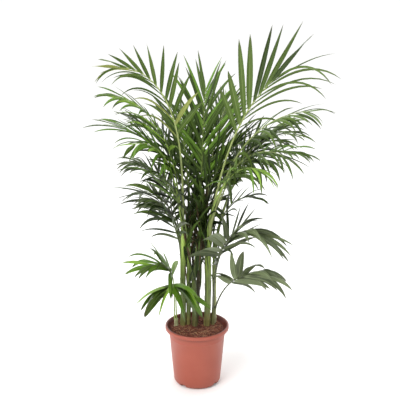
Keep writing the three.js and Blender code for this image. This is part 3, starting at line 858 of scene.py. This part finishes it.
def stalk_below_seat(frond, lowest):
    """Places of a stalk inside the bundle, from the end of the cane up to its seat."""
    foot_x, foot_y, top_x, top_y, top_z = np.array(STEMS[frond["stem"]][:5]) * MM
    offset = frond["places"][0] - [top_x, top_y, top_z]
    places = []
    for z in np.linspace(lowest, top_z, BELOW_STATIONS + 1)[:-1]:
        share = (z - STEM_START) / (top_z - STEM_START)
        gathered = GATHERED_AT_FOOT + (1 - GATHERED_AT_FOOT) * (z - lowest) / (top_z - lowest)
        x = foot_x + (top_x - foot_x) * share + offset[0] * gathered
        y = foot_y + (top_y - foot_y) * share + offset[1] * gathered
        places.append((x, y, z))
    return places


STOUT = {"fan": 1.35, "crown": 1.3, "young": 0.8, "young_left": 0.8, "young_right": 1.1}  # all others 1
for frond in FRONDS:
    frond["places"], frond["tilts"], reach = grow(frond)
    frond["end"] = frond["length"] * MM / reach * GROWTH_STEPS
    top_z = STEMS[frond["stem"]][4]
    cane_end = CANE_END.get(frond["stem"], top_z) * MM
    below = stalk_below_seat(frond, cane_end - BUNDLE_OVERLAP) if cane_end < top_z * MM else []
    samples = np.linspace(0, frond["end"], RIB_STATIONS)
    centres = below + [place_at(frond, sample) for sample in samples]
    if not below:
        centres[0][2] -= SEAT_OVERLAP
    stoutness = STOUT.get(frond["habit"], 1.0)
    radii = [BUNDLE_RADIUS] * len(below)
    radii += [stalk_radius(sample / frond["end"], frond["bare"], stoutness) for sample in samples]
    points, faces = tube(centres, radii, STALK_SIDES)
    rings, sides = np.divmod(np.arange(len(points)), STALK_SIDES)
    on_map = np.column_stack([0.02 + 0.12 * sides / STALK_SIDES, 0.01 + 0.98 * rings / (len(centres) - 1)])
    rib = joined_mesh(frond["name"] + "_rib", points, faces, [STALKS[frond["tone"]]], places_on_map=on_map)
    place_on_plant(rib, [frond["name"]])
print("ribs done, the longest is", max(f["length"] for f in FRONDS), "mm")

# %% [markdown]
# ## Leaflet surface
# A palm leaflet is a thin waxy blade with a raised pale midrib and fine parallel veins. The wax gives a
# soft sheen, so roughness is about 0.4, and the veins scatter part of it, so its specular level is
# below that of a smooth coat. Each leaflet has its own small map, u across and v from foot
# to tip, and all share it: midrib, veins and the paler foot follow the leaflet wherever it turns. The
# veins are really 1 mm apart and are drawn at 2 mm. The greens are plain colours that differ from
# frond to frond and from leaflet to leaflet.

# %% Leaflet materials
def palm_leaflet(name, blade, midrib, roughness):
    material = new_material(name)
    on_leaflet = add_node(material, "ShaderNodeUVMap", {"uv_map": "OFBake"})
    split = add_node(material, "ShaderNodeSeparateXYZ", inputs={"Vector": (on_leaflet, "UV")})
    centred = add_node(material, "ShaderNodeMath", {"operation": "SUBTRACT"}, {0: (split, "X"), 1: 0.5})
    away = add_node(material, "ShaderNodeMath", {"operation": "ABSOLUTE"}, {0: (centred, "Value")})
    line = add_node(
        material, "ShaderNodeMapRange", {"interpolation_type": "SMOOTHSTEP"},
        {"Value": (away, "Value"), "From Min": 0.02, "From Max": 0.07, "To Min": 0.6, "To Max": 0.0},
    )
    foot = add_node(
        material, "ShaderNodeMapRange",
        inputs={"Value": (split, "Y"), "From Min": 0.0, "From Max": 0.14, "To Min": 0.55, "To Max": 0.0},
    )
    paler = add_node(
        material, "ShaderNodeMath", {"operation": "MAXIMUM"}, {0: (line, "Result"), 1: (foot, "Result")}
    )
    veins = add_node(
        material, "ShaderNodeTexWave", {"bands_direction": "X"},
        {"Vector": (on_leaflet, "UV"), "Scale": 3.3, "Distortion": 0.4, "Detail": 1.0},
    )
    shade = add_node(
        material, "ShaderNodeMapRange", inputs={"Value": (veins, "Fac"), "To Min": 0.9, "To Max": 1.06}
    )
    # The last of a leaflet dries first, to a dull grey brown.
    tip = add_node(
        material, "ShaderNodeMapRange",
        inputs={"Value": (split, "Y"), "From Min": 0.8, "From Max": 1.0, "To Min": 0.0, "To Max": 0.6},
    )
    drying = add_node(
        material, "ShaderNodeMix", COLOUR_MIX,
        {0: (tip, "Result"), 6: linear(blade), 7: linear("#46452F")},
    )
    tinted = add_node(
        material, "ShaderNodeMix", COLOUR_MIX, {0: (paler, "Value"), 6: (drying, 2), 7: linear(midrib)}
    )
    colour = add_node(
        material, "ShaderNodeMix", COLOUR_PRODUCT, {0: 1.0, 6: (tinted, 2), 7: (shade, "Result")}
    )
    relief = add_node(
        material, "ShaderNodeMath", MULTIPLY_ADD, {0: (line, "Result"), 1: 2.0, 2: (veins, "Fac")}
    )
    inputs = {"Base Color": (colour, 2), "Roughness": roughness, "IOR": 1.45, "Specular IOR Level": 0.3}
    return set_surface(material, inputs, relief=(relief, "Value"), strength=0.35, distance=0.4 * MM)


LEAF = {
    "dark": palm_leaflet("dark_green_leaflet", "#1D2A0A", "#4A5C32", 0.36),
    "deep": palm_leaflet("deep_green_leaflet", "#304216", "#5E723A", 0.38),
    "mid": palm_leaflet("mid_green_leaflet", "#40561B", "#6E8544", 0.40),
    "fresh": palm_leaflet("fresh_green_leaflet", "#557820", "#8CA656", 0.42),
    "bright": palm_leaflet("bright_green_leaflet", "#789A34", "#AEC274", 0.44),
    "yellow": palm_leaflet("yellow_green_leaflet", "#868F48", "#AEB67C", 0.48),
    "grey": palm_leaflet("grey_green_leaflet", "#4C563A", "#7C8664", 0.34),
    "olive": palm_leaflet("olive_green_leaflet", "#4E6426", "#7C8E50", 0.40),
    "silver": palm_leaflet("silvery_green_leaflet", "#6A7652", "#929C7C", 0.36),
}
TONES = {  # which leaflet greens a frond wears, and in what shares
    "deep": {"dark": 0.35, "deep": 0.4, "mid": 0.25},
    "mid": {"deep": 0.3, "mid": 0.4, "fresh": 0.3},
    "fresh": {"mid": 0.35, "fresh": 0.45, "bright": 0.2},
    "pale": {"mid": 0.35, "olive": 0.4, "yellow": 0.25},
    "dusk": {"dark": 0.4, "grey": 0.3, "deep": 0.3},
    "olive": {"deep": 0.2, "mid": 0.2, "olive": 0.6},
    "smoke": {"deep": 0.1, "grey": 0.6, "olive": 0.3},
    "haze": {"grey": 0.35, "silver": 0.65},
}

# %% [markdown]
# ## Leaflets
# Leaflets stand in two rows along the rib, those of one side between those of the other. Near the
# stalk they spread widely, at the end they point forwards, and the two rows rise in a shallow V.
# A leaflet is a narrow lance of a few faces: folded like a roof along its midrib, widest at a third of
# its length, and drawn out to a fine tip. It is unrolled step by step, and at each step its own weight
# bends it down a little more the flatter it lies, and it twists slightly. Every choice is seeded.

# %% Leaflets
LEAFLET_STEPS = 11
ACROSS = np.array([-1.0, -0.5, 0.0, 0.5, 1.0])
# Spacing in mm and fewest pairs; spread at foot and end, and rise, in degrees; length share at foot and
# end; fullness of the outline; how far chance turns a leaflet; width and hang of the second row against
# the first.
HABITS = {
    "feather": (26, 5, 62, 24, 20, 0.72, 0.54, 0.8, 9, 1.0, 1.0),
    "open_feather": (26, 5, 62, 24, 20, 0.72, 0.54, 0.8, 9, 1.0, 1.0),
    "level": (28, 5, 50, 18, 5, 0.72, 0.70, 0.8, 9, 1.0, 1.0),
    "upright": (22, 5, 44, 16, 12, 0.72, 0.60, 0.8, 9, 1.0, 1.0),
    "hanging": (24, 5, 60, 25, -10, 0.75, 0.60, 0.8, 9, 1.0, 1.0),
    "crown": (34, 5, 46, 14, 14, 0.90, 0.55, 0.8, 5, 1.8, 0.5),
    "fan": (32, 5, 37, 8, 12, 0.62, 0.88, 0.6, 3, 0.4, 3.5),
    "young": (30, 6, 105, 30, -10, 1.00, 0.90, 0.65, 12, 1.0, 1.0),
    "young_left": (30, 9, 85, 5, 5, 0.90, 1.00, 0.75, 9, 1.0, 1.0),
    "young_right": (20, 7, 75, 2, 10, 0.75, 1.00, 0.85, 9, 1.0, 1.3),
    "half_young": (19, 5, 65, 6, 0, 0.80, 0.95, 0.85, 8, 1.0, 1.0),
}
HABIT_FIELDS = "spacing fewest spread_foot spread_end rise share_foot share_end fullness loose".split()
HABIT_FIELDS += ["second_width", "second_hang"]
FRONT_ROW_RISE = {"open_feather": -30}  # the front row hangs clear of the stalks; else both rise alike
LEAFLET_SEED = 100


def outline_width(share, fullness):
    """The half width of a leaflet as a share of its widest place. Less fullness is a blunter lance."""
    swelling = math.sin(math.pi * min(1.0, 0.93 * share + 0.07) ** (1.3 - 0.6 * fullness))
    return max(0.02, swelling**fullness)


def unroll_leaflet(start, heading, along, side, size, hang, twist, fullness):
    """Rows of points from the leaflet's foot to its tip. side is -1 or 1."""
    length, width = size
    rows, place = [], start.copy()
    for step in range(LEAFLET_STEPS + 1):
        share = step / LEAFLET_STEPS
        wide = along - heading * (along @ heading)
        wide /= np.linalg.norm(wide)
        face = side * np.cross(wide, heading)
        turned = math.cos(twist * share) * wide + math.sin(twist * share) * face
        back = math.cos(twist * share) * face - math.sin(twist * share) * wide
        half = width / 2 * outline_width(share, fullness)
        fold = math.tan(math.radians(34 - 20 * share))
        rows.append([place + turned * x * half - back * abs(x) * half * fold for x in ACROSS])
        place = place + heading * length / LEAFLET_STEPS
        flat = math.hypot(heading[0], heading[1])
        heading = heading - np.array([0, 0, 1]) * hang * 0.72 / LEAFLET_STEPS * flat * (1 + 2.8 * share)
        heading /= np.linalg.norm(heading)
    return np.array(rows)


def woven(leaflets):
    """Points, faces, greens and places on the map of leaflets, each given as (rows, green, side)."""
    columns = len(ACROSS)
    across, lengthwise = np.meshgrid((ACROSS + 1) / 2, np.arange(LEAFLET_STEPS + 1) / LEAFLET_STEPS)
    leaflet_map = np.column_stack([across.ravel(), lengthwise.ravel()])
    faces, greens = [], []
    for number, (_, green, side) in enumerate(leaflets):
        first = number * (LEAFLET_STEPS + 1) * columns
        for a in range(LEAFLET_STEPS):
            for b in range(columns - 1):
                under_lip_shadow = first + a * columns + b
                quad = (under_lip_shadow, under_lip_shadow + 1, under_lip_shadow + columns + 1, under_lip_shadow + columns)
                faces.append(quad if side > 0 else quad[::-1])
                greens.append(green)
    points = np.concatenate([rows.reshape(-1, 3) for rows, _, _ in leaflets])
    return points, faces, greens, np.tile(leaflet_map, (len(leaflets), 1))


def frond_leaflets(frond, seed):
    """All leaflets of a frond, each as (rows, green, side)."""
    chance = np.random.default_rng(seed)
    shares_of_greens = list(TONES[frond["tone"]].values())
    habit = dict(zip(HABIT_FIELDS, HABITS[frond["habit"]]))
    rib_length = frond["length"] * MM * (1 - frond["bare"])
    count = max(habit["fewest"], int(rib_length / (habit["spacing"] * MM)))
    end_share = habit["share_end"]
    length_shares = (habit["share_foot"], 1.0, (1 + end_share) / 2 + 0.08 * (1 - end_share), end_share)
    leaflets = []
    for side in (-1, 1):
        for number in range(count + 1):
            along_rib = min(1.0, (number + (0.0 if side < 0 else 0.5)) / (count + 0.5))
            step = (frond["bare"] + (1 - frond["bare"]) * along_rib) * frond["end"]
            tilt = np.interp(step, range(GROWTH_STEPS + 1), frond["tilts"])
            along, sideways, up = rib_frame(frond, tilt)
            spread = habit["spread_foot"] + (habit["spread_end"] - habit["spread_foot"]) * along_rib
            spread = math.radians(spread + chance.uniform(-habit["loose"], habit["loose"]))
            in_front = side * sideways[1] < 0
            rise = FRONT_ROW_RISE.get(frond["habit"], habit["rise"]) if in_front else habit["rise"]
            rise = math.radians(rise + 1.6 * chance.uniform(-habit["loose"], habit["loose"]))
            outwards = math.cos(rise) * side * sideways + math.sin(rise) * up
            heading = math.cos(spread) * along + math.sin(spread) * outwards
            heading /= np.linalg.norm(heading)
            length = frond["leaflet"] * MM * np.interp(along_rib, (0, 0.4, 0.7, 1), length_shares)
            length *= chance.uniform(0.85, 1.08)
            width = frond["width"] * MM * chance.uniform(0.85, 1.1) * (1 - 0.2 * along_rib)
            width *= habit["second_width"] if side > 0 else 1
            hang = frond["hang"] * (habit["second_hang"] if side > 0 else 1) * chance.uniform(0.35, 1.6)
            twist = chance.uniform(-0.9, 0.9)
            start, size = np.array(place_at(frond, step)), (length, width)
            rows = unroll_leaflet(start, heading, along, side, size, hang, twist, habit["fullness"])
            leaflets.append((rows, chance.choice(len(shares_of_greens), p=shares_of_greens), side))
    return leaflets


leaflet_total = 0
for index, frond in enumerate(FRONDS):
    leaflets = frond_leaflets(frond, LEAFLET_SEED + index)
    points, faces, greens, on_map = woven(leaflets)
    wears = [LEAF[green] for green in TONES[frond["tone"]]]
    piece = joined_mesh(frond["name"] + "_leaflets", points, faces, wears, greens, on_map)
    place_on_plant(piece, [frond["name"]])
    leaflet_total += len(leaflets)
print("leaflets:", leaflet_total)

# %% [markdown]
# ## Old sheath fibres and leaf ends
# Where the canes open into stalks, the old sheaths fray: narrow strips stand up between the stalks or
# hang down along the cane, most of them dark or dry and some still green. A strip is a leaflet with
# few faces, so the same unrolling rule makes it. The many dark strips are partly painted shade: they
# fill the inside of the clump, where the shade is deepest, with dark.

# %% Frayed strips
FRAY = {  # how many strips a cane carries, and the heights in mm between which they start
    "stem_b": (20, 500, 620),
    "stem_c": (8, 400, 405),
    "stem_d": (52, 460, 720),
    "stem_e": (14, 500, 620),
    "stem_h": (18, 425, 540),
    "stem_i": (46, 480, 690),
    "stem_j": (48, 460, 680),
}
CLUMP_MIDDLE = (0, 34)
HANGING_SHARE, STRIP_FULLNESS, STRIP_SEED = 0.12, 0.7, 77
# The large dark share is partly painted shade for the inside of the clump.
FRAY_GREENS = {"dark": 0.4, "deep": 0.25, "mid": 0.15, "dry": 0.2}
LEAF["dry"] = palm_leaflet("dry_brown_leaflet", "#4A3C28", "#6E5C40", 0.6)


def frayed_strips(seed):
    """All strips, each as (rows, green, side), like leaflets of one side."""
    chance = np.random.default_rng(seed)
    strips = []
    for stem, (count, lowest, highest) in FRAY.items():
        foot_x, foot_y, top_x, top_y, top_z, _, radius, _ = STEMS[stem]
        inwards = math.atan2(CLUMP_MIDDLE[1] - foot_y, CLUMP_MIDDLE[0] - foot_x)
        for _ in range(count):
            z = chance.uniform(lowest, highest)
            share = (z - STEM_START / MM) / (top_z - STEM_START / MM)
            around, lean = inwards + chance.uniform(-1.5, 1.5), math.radians(chance.uniform(6, 34))
            out = np.array([math.cos(around), math.sin(around), 0.0])
            axis = np.array([foot_x + (top_x - foot_x) * share, foot_y + (top_y - foot_y) * share, z])
            heading = unit_vector(lean, around)
            if chance.random() < HANGING_SHARE:
                heading[2] = -heading[2]
            start, along = (axis + out * radius * 0.7) * MM, np.cross(out, [0, 0, 1])
            size = (chance.uniform(80, 210) * MM, chance.uniform(4, 13) * MM)
            hang, twist = chance.uniform(0.3, 1.6), chance.uniform(-1.5, 1.5)
            rows = unroll_leaflet(start, heading, along, 1, size, hang, twist, STRIP_FULLNESS)
            green = chance.choice(len(FRAY_GREENS), p=list(FRAY_GREENS.values()))
            strips.append((rows, green, 1))
    return strips


strips = frayed_strips(STRIP_SEED)
points, faces, greens, on_map = woven(strips)
piece = joined_mesh("frayed_strips", points, faces, [LEAF[green] for green in FRAY_GREENS], greens, on_map)
place_on_plant(piece, [])
print("frayed strips:", len(strips))
